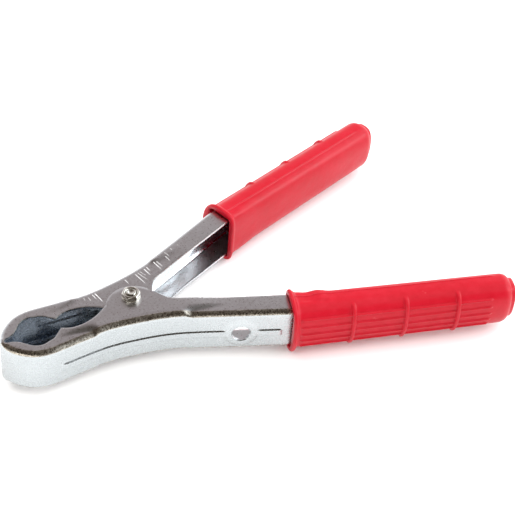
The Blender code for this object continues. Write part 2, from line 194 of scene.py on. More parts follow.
def stations():
    """(x edge, u edge, x web, u web, height)"""
    st = [p + (H,) for p in catmull(NOSE, 6)[:-1] + catmull(REAR_JAW, 6)]
    a0 = math.atan2(-0.35 - EAR_C[1], -13.0 - EAR_C[0]) + 2 * math.pi
    a1 = math.atan2(-0.35 - EAR_C[1], 11.8 - EAR_C[0])
    a1 += 2 * math.pi if a1 < 0 else 0.0
    a0 = a0 - 2 * math.pi if a0 > 2 * math.pi else a0
    n = 54
    # short blend from the rear jaw into the arc
    for k in range(n + 1):
        f = k / n
        a = a0 + (a1 - a0) * f
        xw = -13.0 + 24.5 * f
        st.append((EAR_C[0] + EAR_R * math.cos(a), EAR_C[1] + EAR_R * math.sin(a), xw, web_u(xw), H))
    fil = [st[-1][:4]] + [(a, b, w, web_u(w)) for (a, b), w in
                          zip([(12.7, 2.6), (14.2, 5.3), (16.3, 7.6), (19.6, 9.7)], [13.2, 15.0, 17.0, 19.0])]
    for xe, xw in ((24.0, 22.0), (30.0, 26.6), (36.0, 31.8)):
        fil.append((xe, 11.5 + 0.402 * (xe - 24.0), xw, web_u(xw)))
    st += [p + (H,) for p in catmull(fil, 6)[1:]]
    x = 36.0
    while x < 67.7:
        x += 0.8
        xw = 31.8 + (x - 36.0) * (62.8 - 31.8) / (67.8 - 36.0)
        st.append((x, 11.5 + 0.402 * (x - 24.0), xw, web_u(xw), H))
    last = st[-1]
    prev = last
    for s, half, h in TANG:
        q, p = sleeve_axis(s, -half), sleeve_axis(s, half)
        tgt = (q[0], q[1], p[0], p[1], h)
        steps = 6 if s < 80 else 10
        for k in range(1, steps + 1):
            st.append(tuple(lerp(a, b, k / steps) for a, b in zip(prev, tgt)))
        prev = tgt
    return st


def bead(x, z):
    """height of the pressed bead and of the pad round the lug hole"""
    g = 0.0
    zc, hb = (BEAD_TOP + BEAD_BOTTOM) / 2, (BEAD_TOP - BEAD_BOTTOM) / 2
    for k, (a, b) in enumerate((BEAD_1, BEAD_2)):
        px = max(a + hb - x, x - (b - hb * 0.5), 0.0)
        if k == 0 and x > 0:
            px = 0.0
        if k == 1 and x < 56:
            px = 0.0
        d = math.hypot(px, z - zc) - hb
        fade = 1.0
        if k == 0:
            fade = smooth((x - a - 0.5) / 5.0) * smooth((b + 0.8 - x) / 4.0)
        else:
            fade = smooth((x - a + 0.4) / 2.2) * smooth((b - x) / 1.4)
        g = max(g, fade * smooth(-d / 0.85))
    r = math.hypot((x - LUG_HOLE_X) * 1.087, z - LUG_HOLE_Z)
    up = smooth((z - LUG_HOLE_Z + 3.0) / 6.0)
    pad = smooth((lerp(8.5, 9.6, up) - r) / lerp(1.1, 4.2, up))
    return BEAD_DEPTH * max(g, pad)


def joggle(x, d, z):
    """shift of the pressing at the pivot: the overlapping ear is set out, the other one in;
    the ramp is short at the bend and runs out gently over the cheek"""
    ramp = JOG_RAMP + 17.0 * smooth((d - 2.2) / 5.5)
    j = smooth((x - (JOG_X[0] + JOG_RAMP - ramp)) / ramp) * smooth(((JOG_X[1] - JOG_RAMP + ramp) - x) / ramp)
    if z > 0:
        return JOG_OUT * j * smooth((z - 3.0) / 6.0)
    return JOG_IN * j * smooth((-z - 5.0) / 4.2)


WEB_Z = [8.8, 8.0, 7.2, 6.4, 5.6, 4.8, 4.0, 3.3, 2.7, 2.2, 1.8, 1.5, 1.3, 1.15, 1.0, 0.85, 0.7, 0.55, 0.4, 0.15,
         -0.3, -0.8, -1.3, -1.8, -2.2, -2.5, -2.65, -2.8, -2.95, -3.1, -3.25, -3.4, -3.55, -3.75, -4.1, -4.6,
         -5.1, -5.6, -6.1, -6.6, -7.1, -7.6, -8.1, -8.6, -9.0]


def arm(name, flip):
    st = stations()
    n = len(st)
    rings, masks, crease_shade_rows = [], [], []
    top_n, bot_n, arc_n = 9, 9, 10
    e = EDGE_R
    for k, (xq, uq, xp, up, hh) in enumerate(st):
        a, b = st[max(k - 1, 0)], st[min(k + 1, n - 1)]
        tx, tu = b[2] - a[2], b[3] - a[3]
        l = math.hypot(tx, tu)
        nx, nu = tu / l, -tx / l
        L = math.hypot(xq - xp, uq - up)
        qx, qu = (xq - xp) / L, (uq - up) / L
        c = max(0.55, nx * qx + nu * qu)
        ro = min(R_BEND, (L - 0.5) * c)
        ri = max(ro - T, 0.35)
        h = hh / 2.0
        sc = (h - ro) / (H / 2 - R_BEND)
        outer, inner, mo = [], [], []

        def cheek(lst, z, d0, d1, count):
            # from the edge rounding (d1) towards the bend (d0), without the end points
            for i in range(1, count):
                lst.append((lerp(d1, d0, i / count), z))

        # ---- outer side, top edge to bottom edge
        outer += [(L, h - T / 2), (L, h - e), (L - 0.3 * e, h - 0.3 * e), (L - e, h)]
        mo += [1, 1, 1, 0]
        d_b = ro / c
        cheek(outer, h, d_b, L - e, top_n)
        mo += [0.0] * (top_n - 1)
        for i in range(arc_n + 1):
            t = math.radians(90.0 - 90.0 * i / arc_n)
            outer.append(((ro - ro * math.cos(t)) / c, h - ro + ro * math.sin(t)))
            mo.append(math.sin(2 * t) ** 0.5 if 0 < i < arc_n else 0.0)
        for z in WEB_Z:
            g = bead(xp, z) if xp < 66 else 0.0
            outer.append((-g / c, z * sc))
            mo.append(0.0)
        for i in range(arc_n + 1):
            t = math.radians(90.0 * i / arc_n)
            outer.append(((ro - ro * math.cos(t)) / c, -(h - ro + ro * math.sin(t))))
            mo.append(math.sin(2 * t) ** 0.5 if 0 < i < arc_n else 0.0)
        for i in range(1, bot_n):
            outer.append((lerp(d_b, L - e, i / bot_n), -h))
            mo.append(0.0)
        outer += [(L - e, -h), (L - 0.3 * e, -h + 0.3 * e), (L, -h + e), (L, -h + T / 2)]
        mo += [0, 1, 1, 1]

        # ---- inner side, same count, top edge to bottom edge
        inner += [(L, h - T / 2 - 0.02), (L, h - T + e), (L - 0.3 * e, h - T + 0.3 * e), (L - e, h - T)]
        d_i = (ro - ri) / c + ri / c
        cheek(inner, h - T, d_i, L - e, top_n)
        for i in range(arc_n + 1):
            t = math.radians(90.0 - 90.0 * i / arc_n)
            inner.append(((ro - ri * math.cos(t)) / c, h - ro + ri * math.sin(t)))
        for z in WEB_Z:
            g = bead(xp, z) if xp < 66 else 0.0
            inner.append(((T - g) / c, z * sc))
        for i in range(arc_n + 1):
            t = math.radians(90.0 * i / arc_n)
            inner.append(((ro - ri * math.cos(t)) / c, -(h - ro + ri * math.sin(t))))
        for i in range(1, bot_n):
            inner.append((lerp(d_i, L - e, i / bot_n), -h + T))
        inner += [(L - e, -h + T), (L - 0.3 * e, -h + T - 0.3 * e), (L, -h + T - e), (L, -h + T / 2 + 0.02)]

        ring = []
        for d, z in outer + list(reversed(inner)):
            x, u = xp + qx * d, up + qu * d
            z += joggle(xp, d, z)
            ring.append((x, -u * flip, z * flip))
        rings.append(ring)
        masks.append(mo + [-1.0] * len(inner))
        # painted shade: a dark line along the lower edge of the pressed bead, kept per vertex as an attribute
        cr = []
        for d, z in outer:
            g = bead(xp, z - 0.45) / BEAD_DEPTH if (xp < 66 and -4.2 < z < -2.9 and d <= 0.01 and xp < 36.0) else 0.0
            cr.append(max(0.0, 1.0 - abs(z + 3.4) / 0.5) * smooth((xp - BEAD_1[0] - 3.0) / 12.0) if g > 0.02 or -4.0 < z < -2.9 and BEAD_1[0] + 3 < xp < 36 else 0.0)
        crease_shade_rows.append(cr + [0.0] * len(inner))
    verts, faces = bridge(rings, False)
    m = len(rings[0])
    half = m // 2
    for base, rev in ((0, False), ((n - 1) * m, True)):
        for i in range(half - 1):
            f = (base + i, base + i + 1, base + m - 2 - i, base + m - 1 - i)
            faces.append(tuple(reversed(f)) if rev else f)
    ob = new_object(name, verts, faces, 34.0, {"bend": [v for r in masks for v in r],
                                               "crease_painted_shade": [v for r in crease_shade_rows for v in r]})

    # bolt hole and the lug hole with a small lead-in
    v, f = [], []
    seg = 64
    prof = [(2.75, -20.0), (2.75, 20.0)]
    ob_h = solid_of_rings("c1", [[(r * math.cos(2 * math.pi * i / seg), r * math.sin(2 * math.pi * i / seg), z)
                                  for i in range(seg)] for r, z in prof])
    boolean(ob, ob_h)
    hu = 28.85 + 0.4268 * (LUG_HOLE_X - 36.0)
    an = math.atan(0.4268)
    axis = Vector((-math.sin(an), math.cos(an) * -flip, 0.0))     # outwards
    e1 = Vector((0.0, 0.0, 1.0))
    e2 = axis.cross(e1)
    o = Vector((LUG_HOLE_X, -hu * flip, LUG_HOLE_Z * flip))
    rings = []
    for r, d in ((LUG_HOLE_R, -5.0), (LUG_HOLE_R, BEAD_DEPTH - 0.35), (LUG_HOLE_R + 0.42, BEAD_DEPTH + 0.05),
                 (LUG_HOLE_R + 1.4, BEAD_DEPTH + 1.2)):
        rings.append([tuple(o + axis * d + e1 * (r * math.cos(2 * math.pi * i / 72)) + e2 * (r * math.sin(2 * math.pi * i / 72)))
                      for i in range(72)])
    boolean(ob, solid_of_rings("c2", rings))
    finish_normals(ob, 34.0)
    return ob


def solid_of_rings(name, rings):
    v, f = bridge(rings, False)
    n = len(rings[0])
    f.append(tuple(range(n)))
    f.append(tuple(reversed(range((len(rings) - 1) * n, len(rings) * n))))
    return new_object(name, v, f)


# ------------------------------------------------------------------ moulded sleeves
def superellipse(a, b, n, t):
    s, c = math.sin(t), math.cos(t)
    return (a * math.copysign(abs(c) ** (2.0 / n), c), b * math.copysign(abs(s) ** (2.0 / n), s))


def sleeve_outline(a, b, n_out, n_in):
    """list of (w, z, key) round the section; key holds the rib coordinate z on the ribbed outer face and is None
    elsewhere
    """
    pts = []
    # ribbed face, from top to bottom: fixed z so that the ribs stay crisp
    zs = []
    for rz in LONG_RIBS_Z:
        for o in (-1.5, -0.85, -0.62, -0.45, -0.3, -0.15, 0.0, 0.15, 0.3, 0.45, 0.62, 0.85, 1.5):
            zs.append(rz + o)
    zs = sorted(set(round(z, 3) for z in zs), reverse=True)
    k = b / SLEEVE_FRONT[1]
    lim = 11.0
    zs = [z for z in zs if abs(z) < lim]
    for z in zs:
        zz = z * k
        w = BELLY * (1.0 - abs(zz / b) ** n_out) ** (1.0 / n_out)
        pts.append((w, zz, z))
    top = math.asin(min(1.0, (lim * k / b) ** (n_out / 2.0)))
    corner = []
    for i in range(1, 12):
        t = top + (math.pi / 2 - top) * i / 12.0
        corner.append(superellipse(BELLY, b, n_out, t))
    mid = pts
    # inner face
    inner = []
    ts = [math.pi / 2 + math.pi * i / 48.0 for i in range(0, 49)]
    for w0 in (-3.4, -3.05, -2.85, -2.7, -2.6, -2.5, -2.35, -2.15, -1.8):
        tt = math.acos(max(-1.0, min(1.0, -abs(w0 / a) ** (n_in / 2.0))))
        ts += [tt, 2 * math.pi - tt]
    for t in sorted(ts):
        inner.append(superellipse(a, b, n_in, t))
    upper = [(w, z, None) for w, z in reversed(corner)]
    lower = [(w, -z, None) for w, z in corner]
    inn = [(w, z, None) for w, z in inner]
    # go round: top middle -> outer corner -> ribs -> lower corner -> bottom middle -> inner face -> top
    return upper + mid + lower + list(reversed(inn))


def outline_normals(pts):
    out = []
    n = len(pts)
    for i in range(n):
        a, b = pts[(i - 1) % n], pts[(i + 1) % n]
        dw, dz = b[0] - a[0], b[1] - a[1]
        l = math.hypot(dw, dz) or 1.0
        out.append((-dz / l, dw / l))
    # outward: the first point is near the top, so its normal must point up
    if out[0][1] < 0:
        out = [(-p, -q) for p, q in out]
    return out


def sleeve(name, flip, s0, dent):
    def place(w, z, s):
        x, u = sleeve_axis(s, w)
        return (x, -u * flip, z * flip)

    def section(d, grow=0.0, long_h=0.0, cross=0.0, extra=0.0, lip=0.0):
        f = min(1.0, max(0.0, d / SLEEVE_L))
        a = lerp(SLEEVE_FRONT[0], SLEEVE_REAR[0], f)
        b = lerp(SLEEVE_FRONT[1], SLEEVE_REAR[1], f)
        pts = sleeve_outline(a, b, 2.35, 5.2 - 1.9 * smooth((d - 4.0) / 20.0) - 0.7 * f)
        nrm = outline_normals(pts)
        ring = []
        for (w, z, key), (nw, nz) in zip(pts, nrm):
            hgt = grow + extra
            lip_f = lip
            if key is not None:
                rib = 0.0
                for rz in LONG_RIBS_Z:
                    rib = max(rib, smooth((0.72 - abs(key - rz)) / 0.5))
                hgt += max(long_h * rib, cross * smooth((11.6 - abs(key)) / 1.1))
            else:
                if w > 0.0:
                    hgt += cross * smooth((w - 0.42 * BELLY) / (0.3 * BELLY))
                # moulding line along the top and the bottom
                if grow > -0.3 and FLANGE_T < d < 104.0:
                    hgt += 0.36 * math.exp(-((w + 2.6) / 0.30) ** 2)
            hgt += lip_f * 0.35 * smooth(w / BELLY * 1.2)
            if dent and abs(extra) < 1e-6 and grow == 0.0 and w < 1.0:
                c = smooth((z * flip + 4.0) / 9.0)
                hgt += c * (0.55 * math.exp(-((d - 15.5) / 3.4) ** 2) - 0.5 * math.exp(-((d - 8.8) / 3.0) ** 2))
            ring.append((w + nw * hgt, z + nz * hgt))
        return ring

    rows = []

    def add(d, **kw):
        rows.append([place(w, z, s0 + d) for w, z in section(d, **kw)])

    # flange: rounded lip that leans back into the body
    lip = []
    for i in range(9):
        t = math.pi * i / 8.0
        lip.append((1.1 - 1.1 * math.cos(t), FLANGE_OUT - 1.0 + 1.0 * math.sin(t)))
    add(0.0, grow=FLANGE_OUT - 1.6, lip=0.8)
    for d, g in lip:
        add(max(0.02, d), grow=g, lip=1.0)
    add(2.5, grow=0.85, lip=0.62)
    add(2.85, grow=0.45, lip=0.32)
    add(FLANGE_T + 0.2, grow=0.2, lip=0.12)
    add(FLANGE_T + 0.7, grow=0.04)
    add(FLANGE_T + 1.2, long_h=0.12)
    add(FLANGE_T + 2.0, long_h=LONG_RIB_H)
    marks = []
    d = FLANGE_T + 3.2
    while d < 101.0:
        if all(abs(d - c) > 2.0 for c in CROSS_RIBS):
            marks.append((d, 0.0))
        d += 1.6
    for c in CROSS_RIBS:
        for o, hgt in ((-1.55, 0.0), (-1.25, 0.06), (-1.05, 0.3), (-0.85, 0.7), (-0.55, 0.94), (-0.2, 1.0), (0.2, 1.0),
                       (0.55, 0.94), (0.85, 0.7), (1.05, 0.3), (1.25, 0.06), (1.55, 0.0)):
            marks.append((c + o, hgt))
    for d, hgt in sorted(marks):
        # sleeve surface is not perfectly even
        add(d, long_h=LONG_RIB_H, cross=CROSS_RIB_H * hgt)
    add(101.6, long_h=LONG_RIB_H)
    add(102.2, long_h=LONG_RIB_H * 0.5)
    add(102.7, long_h=0.06)
    add(103.4)
    add(106.0)
    add(108.5)
    R = 4.6
    for i in range(1, 11):
        t = math.radians(78.0 * i / 10)
        add(SLEEVE_L - R * 0.98 + R * math.sin(t), grow=-0.62 * R * (1 - math.cos(t)))
    add(SLEEVE_L + 0.12, grow=-2.42)
    add(SLEEVE_L + 0.24, grow=-2.5)
    add(SLEEVE_L + BOSS_L - 1.1, grow=-2.6)
    for i in range(1, 6):
        t = math.radians(90.0 * i / 5)
        add(SLEEVE_L + BOSS_L - 1.1 + 1.1 * math.sin(t), grow=-2.6 - 1.1 * (1 - math.cos(t)))
    # end face into the cable entry
    base = section(SLEEVE_L + BOSS_L, grow=-3.7)
    n = len(base)

    def circle(r, d):
        out = []
        for w, z in base:
            l = math.hypot(w, z)
            out.append(place(w / l * r, z / l * r, s0 + d))
        return out
    end = SLEEVE_L + BOSS_L
    rows.append(circle(CABLE_R + 0.5, end))
    rows.append(circle(CABLE_R + 0.1, end - 0.15))
    rows.append(circle(CABLE_R, end - 0.5))
    deep = S_TANG_END + 0.9 - s0
    rows.append(circle(CABLE_R, deep + 0.4))
    rows.append(circle(CABLE_R + 0.1, deep))

    # pocket for the steel
    def pocket(half, hh, gap, r, d):
        a, b = half + gap, hh / 2 + gap
        out = []
        for w, z in base:
            l = math.hypot(w, z)
            cw, cz = w / l, z / l
            # ray to a rounded rectangle, rounded towards the outside of the arm
            rr = r if w > 0 else 0.6
            k = min(a / abs(cw) if abs(cw) > 1e-9 else 1e9, b / abs(cz) if abs(cz) > 1e-9 else 1e9)
            pw, pz = cw * k, cz * k
            dw, dz = abs(pw) - (a - rr), abs(pz) - (b - rr)
            if dw > 0 and dz > 0:
                # march back to the corner arc
                lo, hi = 0.0, k
                for _ in range(24):
                    mid = (lo + hi) / 2
                    mw, mz = abs(cw * mid) - (a - rr), abs(cz * mid) - (b - rr)
                    inside = mw <= 0 or mz <= 0 or math.hypot(mw, mz) <= rr
                    if inside:
                        lo = mid
                    else:
                        hi = mid
                pw, pz = cw * lo, cz * lo
            out.append(place(pw, pz, s0 + d))
        return out
    g = 0.35
    rows.append(pocket(TANG[2][1] - 1.0, TANG[2][2] - 2.0, g, 3.2, deep - 0.05))
    rows.append(pocket(TANG[2][1], TANG[2][2], g, 3.2, deep - 0.3))
    rows.append(pocket(TANG[1][1], TANG[1][2], g, 3.2, 90.0 - s0))
    rows.append(pocket(TANG[0][1] + 0.25, TANG[0][2] + 0.3, g, 3.2, 78.0 - s0))
    inn = 73.8 - s0
    rows.append(pocket(6.7, H, g, 3.2, max(inn, 0.9)))
    rows.append(pocket(6.8, H, g + 0.12, 3.2, 0.45))
    rows.append(pocket(7.0, H, g + 0.35, 3.2, 0.08))
    v, f = bridge(rows, True)
    ob = new_object(name, v, f, 50.0)
    return ob


# ------------------------------------------------------------------ hinge hardware
Z_TOP = H / 2 + JOG_OUT
Z_W, WASHER_T = Z_TOP + 0.1, 0.62
NUT_BOTTOM, NUT_TOP = Z_W + WASHER_T + 0.04, 16.95
APO = 4.0
HEX_R = APO / math.cos(math.pi / 6)
NUT_TURN = math.radians(11.0)


def hex_r(a):
    d = (a - NUT_TURN + math.pi / 6) % (math.pi / 3) - math.pi / 6
    return APO / math.cos(d)


def nut(name, z0, z1, bore):
    r_c = 3.72
    prof = [("b", 0), ("b", 1), ("w", 1), ("w", 1.5), ("h0", 0), ("h0", .3), ("h1", .3), ("h1", 0), ("t", 1.5), ("t", 1), ("t", .8), ("b", 2), ("b", 3)]

    def ring(a):
        rh = hex_r(a)
        drop = max(0.0, rh - r_c) * math.tan(math.radians(30))
        drop0 = max(0.0, rh - 3.95) * math.tan(math.radians(22))
        p = [(bore, z0 + 0.35), (bore + 0.3, z0), (3.6, z0), (min(rh, 3.95), z0 + 0.02),
             (rh - 0.05, z0 + drop0 + 0.03), (rh, z0 + drop0 + 0.12), (rh, z1 - drop - 0.14), (rh - 0.06, z1 - drop - 0.03),
             (lerp(rh, r_c, 0.5), z1 - drop * 0.5), (r_c, z1), (r_c - 0.15, z1 + 0.005), (bore + 0.45, z1 + 0.005),
             (bore + 0.1, z1 - 0.22), (bore, z1 - 0.5)]
        return [(r * math.cos(a), r * math.sin(a), z) for r, z in p]
    seg = 144
    v, f = bridge([ring(2 * math.pi * i / seg) for i in range(seg)], True)
    return new_object(name, v, f, 26.0)


def washer(name):
    r0, r1, z0, z1 = 2.8, 4.55, Z_W, Z_W + WASHER_T
    p = [(r0, z0 + .1), (r0 + .1, z0), (r1 - .25, z0), (r1 - .07, z0 + .07), (r1, z0 + .2), (r1, z1 - .2), (r1 - .09, z1 - .09),
         (r1 - .3, z1), (r0 + .12, z1), (r0, z1 - .12)]
    v, f = turned(name, p, 96)
    return new_object(name, v, f, 40.0)


def lathe(name, prof, seg, reshape=None, sharp=32.0):
    """solid of revolution; profile runs from the axis to the axis"""
    verts, faces = [], []
    n = len(prof)
    verts.append((0.0, 0.0, prof[0][1]))
    for k in range(1, n - 1):
        for i in range(seg):
            a = 2 * math.pi * i / seg
            r, z = prof[k]
            if reshape:
                r, z = reshape(k, r, z, a)
            verts.append((r * math.cos(a), r * math.sin(a), z))
    verts.append((0.0, 0.0, prof[-1][1]))
    for i in range(seg):
        faces.append((0, 1 + (i + 1) % seg, 1 + i))
    for k in range(n - 3):
        a, b = 1 + k * seg, 1 + (k + 1) * seg
        for i in range(seg):
            j = (i + 1) % seg
            faces.append((a + i, a + j, b + j, b + i))
    last = len(verts) - 1
    a = 1 + (n - 3) * seg
    for i in range(seg):
        faces.append((last, a + i, a + (i + 1) % seg))
    return new_object(name, verts, faces, sharp)


def bolt(name):
    zt = NUT_TOP + 0.22
    zh = -Z_TOP - 0.3
    top = [(2.5, zh), (2.5, NUT_TOP - 2.2)]
    # thread crests showing just above the nut
    z = NUT_TOP - 2.2
    while z < NUT_TOP - 0.3:
        top += [(2.5, z + 0.12), (2.18, z + 0.4), (2.5, z + 0.68)]
        z += 0.8
    top += [(2.5, zt - 0.62), (2.36, zt - 0.3), (2.12, zt - 0.06), (1.9, zt), (1.7, zt - 0.02), (1.35, zt - 0.22),
            (0.8, zt - 0.42), (0.35, zt - 0.48), (0.0, zt - 0.5)]
    hb = zh - 2.2
    head = [(0.0, hb + 0.25), (2.2, hb + 0.25), (2.5, hb + 0.06), (3.3, hb), (3.72, hb + 0.05), (4.4, hb + 0.4), (4.61, hb + 0.55),
            (4.61, zh - 0.35), (4.5, zh - 0.1), (4.15, zh), (2.8, zh)]

    def reshape(k, r, z, a):
        rh = hex_r(a)
        if 4 <= k <= 8 and r > 3.73:
            r2 = min(r, rh)
            if z < hb + 1.0:
                z = hb + 0.05 + max(0.0, r2 - 3.72) * math.tan(math.radians(30)) + (0.12 if k == 6 else 0.0)
            return r2, z
        if k == 9:
            return min(r, rh), z
        return r, z
    prof = head + top[0:]
    return lathe(name, prof, 144, reshape, 30.0)


def bush(name):
    zb = H / 2 - JOG_IN - T - 0.3
    p = [(2.8, -zb + .25), (3.05, -zb), (3.95, -zb), (4.2, -zb + .25), (4.2, zb - .25), (3.95, zb), (3.05, zb), (2.8, zb - .25)]
    v, f = turned(name, p, 80)
    return new_object(name, v, f, 40.0)


def spring(name):
    wire, coil_r, turns, pitch = 1.2, 6.1, 4, 3.0
    h = turns * pitch
    foot = Vector((22.0, 18.2, 0.0))
    d = foot.length
    a_t = math.atan2(foot.y, foot.x) + math.acos(coil_r / d)
    sweep = turns * 2 * math.pi - 2 * a_t
    steps = 40 * turns
    path = []
    tp = Vector((coil_r * math.cos(a_t), -coil_r * math.sin(a_t), -h / 2))
    end = Vector((foot.x, -foot.y, -h / 2))
    for k in range(12):
        path.append(end.lerp(tp, k / 12.0))
    for k in range(steps + 1):
        f = k / steps
        a = -a_t - sweep * f
        path.append(Vector((coil_r * math.cos(a), coil_r * math.sin(a), -h / 2 + h * f)))
    tp2, end2 = path[-1].copy(), Vector((foot.x, foot.y, h / 2))
    for k in range(1, 13):
        path.append(tp2.lerp(end2, k / 12.0))
    seg = 14
    rings = []
    up = Vector((0, 0, 1))
    for i, p in enumerate(path):
        t = (path[min(i + 1, len(path) - 1)] - path[max(i - 1, 0)]).normalized()
        s = t.cross(up).normalized()
        q = s.cross(t)
        r = wire * (0.55 if i in (0, len(path) - 1) else 1.0)
        rings.append([tuple(p + s * (r * math.cos(2 * math.pi * j / seg)) + q * (r * math.sin(2 * math.pi * j / seg)))
                      for j in range(seg)])
    return solid_of_rings(name, rings)


# ------------------------------------------------------------------ materials
class Nodes:
    def __init__(self, name):
        self.m = bpy.data.materials.new(name)
        self.m.use_nodes = True
        self.t = self.m.node_tree
        self.bsdf = self.t.nodes["Principled BSDF"]
        self.co = self.t.nodes.new("ShaderNodeTexCoord").outputs["Object"]

    def add(self, kind, **props):
        n = self.t.nodes.new(kind)
        for k, v in props.items():
            setattr(n, k, v)
        return n

    def link(self, a, b):
        self.t.links.new(a, b)

    def val(self, sock, v):
        if isinstance(v, bpy.types.NodeSocket):
            self.link(v, sock)
        else:
            sock.default_value = v

    def math(self, op, a, b=None, c=None, clamp=False):
        n = self.add("ShaderNodeMath", operation=op, use_clamp=clamp)
        self.val(n.inputs[0], a)
        if b is not None:
            self.val(n.inputs[1], b)
        if c is not None:
            self.val(n.inputs[2], c)
        return n.outputs[0]

    def noise(self, scale, detail=3.0, rough=0.5, stretch=None, dist=0.0):
        n = self.add("ShaderNodeTexNoise")
        n.inputs["Scale"].default_value = scale
        n.inputs["Detail"].default_value = detail
        n.inputs["Roughness"].default_value = rough
        n.inputs["Distortion"].default_value = dist
        co = self.co
        if stretch:
            mp = self.add("ShaderNodeMapping")
            mp.inputs["Scale"].default_value = stretch[0]
            if len(stretch) > 1:
                mp.inputs["Rotation"].default_value = stretch[1]
            self.link(co, mp.inputs["Vector"])
            co = mp.outputs[0]
        self.link(co, n.inputs["Vector"])
        return n.outputs["Fac"]

    def ramp(self, fac, stops):
        n = self.add("ShaderNodeValToRGB")
        cr = n.color_ramp
        while len(cr.elements) < len(stops):
            cr.elements.new(0.5)
        for el, (p, col) in zip(cr.elements, stops):
            el.position = p
            el.color = (*col, 1.0) if isinstance(col, tuple) else (col, col, col, 1.0)
        self.link(fac, n.inputs[0])
        return n.outputs[0]

    def rng(self, x, a, b, c, d, clamp=True, kind='LINEAR'):
        n = self.add("ShaderNodeMapRange", clamp=clamp, interpolation_type=kind)
        self.val(n.inputs[0], x)
        for i, v in enumerate((a, b, c, d)):
            n.inputs[i + 1].default_value = v
        return n.outputs[0]

    def mix(self, fac, a, b, blend='MIX'):
        n = self.add("ShaderNodeMix", data_type='RGBA', blend_type=blend)
        self.val(n.inputs[0], fac)
        for sock, v in ((n.inputs[6], a), (n.inputs[7], b)):
            if isinstance(v, tuple):
                sock.default_value = (*v, 1.0)
            else:
                self.link(v, sock)
        return n.outputs[2]

    def bump(self, height, strength, distance, normal=None):
        n = self.add("ShaderNodeBump")
        n.inputs["Strength"].default_value = strength
        n.inputs["Distance"].default_value = distance
        self.link(height, n.inputs["Height"])
        if normal is not None:
            self.link(normal, n.inputs["Normal"])
        return n.outputs[0]

    def attribute(self, name):
        n = self.add("ShaderNodeAttribute")
        n.attribute_name = name
        return n.outputs["Fac"]


# rub marks across the inner arm's cheek, in mm round the pivot: two ends and a width
RUBS = [((-14.0, 11.7), (-12.6, 3.6), 0.34), ((-15.5, 11.3), (-14.7, 6.8), 0.26), ((-17.9, 10.2), (-17.7, 7.1), 0.16),
        ((-20.2, 10.9), (-20.1, 8.3), 0.14), ((3.2, 13.8), (3.8, 10.1), 0.24), ((9.4, 15.4), (11.4, 6.2), 0.28),
        ((10.8, 15.8), (13.6, 8.2), 0.20), ((12.3, 16.0), (14.1, 11.3), 0.16), ((14.9, 16.7), (16.2, 10.9), 0.34),
        ((16.6, 17.5), (17.3, 13.6), 0.26), ((21.3, 19.2), (22.9, 12.0), 0.32), ((22.8, 18.9), (24.3, 13.8), 0.26),
        ((29.2, 22.6), (30.6, 18.8), 0.18), ((28.5, 20.1), (29.4, 15.7), 0.22), ((33.3, 23.9), (33.6, 22.2), 0.2),
        ((37.6, 25.1), (38.1, 23.7), 0.16)]


